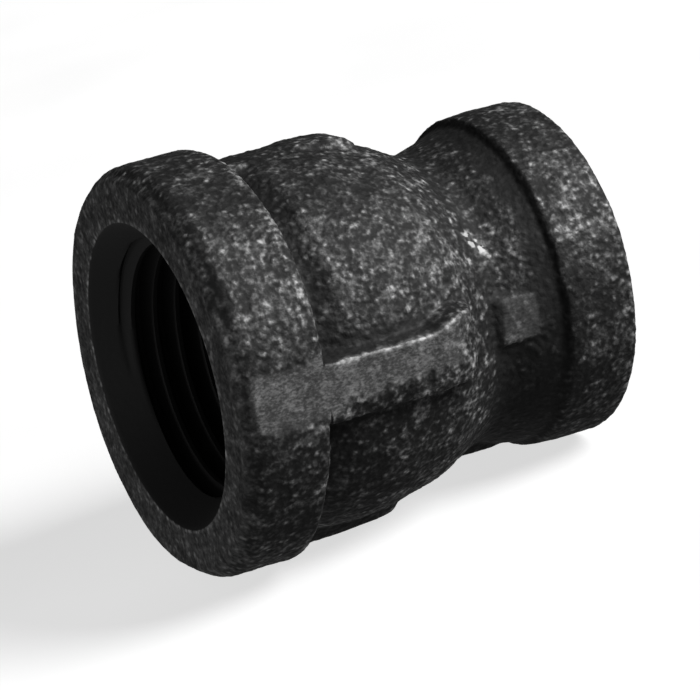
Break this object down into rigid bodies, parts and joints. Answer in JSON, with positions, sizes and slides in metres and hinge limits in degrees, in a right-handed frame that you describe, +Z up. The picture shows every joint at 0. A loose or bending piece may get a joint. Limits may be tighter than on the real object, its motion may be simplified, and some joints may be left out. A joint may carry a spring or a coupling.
{
  "type": "threaded reducing coupling",
  "caption": "Black malleable iron reducing coupling: a ribbed barrel with a tapped socket in each end, joining two pipes of different size in line.",
  "frame": {"origin": "middle of the large end's face, on the bore's axis", "axes": "+X along the bore towards the small end, +Z up with the coupling lying on its side, flush side ribs on +Y and -Y, lower ribs on +Z and -Z"},
  "size_m": [0.033, 0.0302, 0.0304],
  "materials": {
    "black_iron": "black oiled sand casting, semi-gloss"
  },
  "bodies": {
    "root": {"coupling_body": "black_iron"}
  },
  "joints": []
}
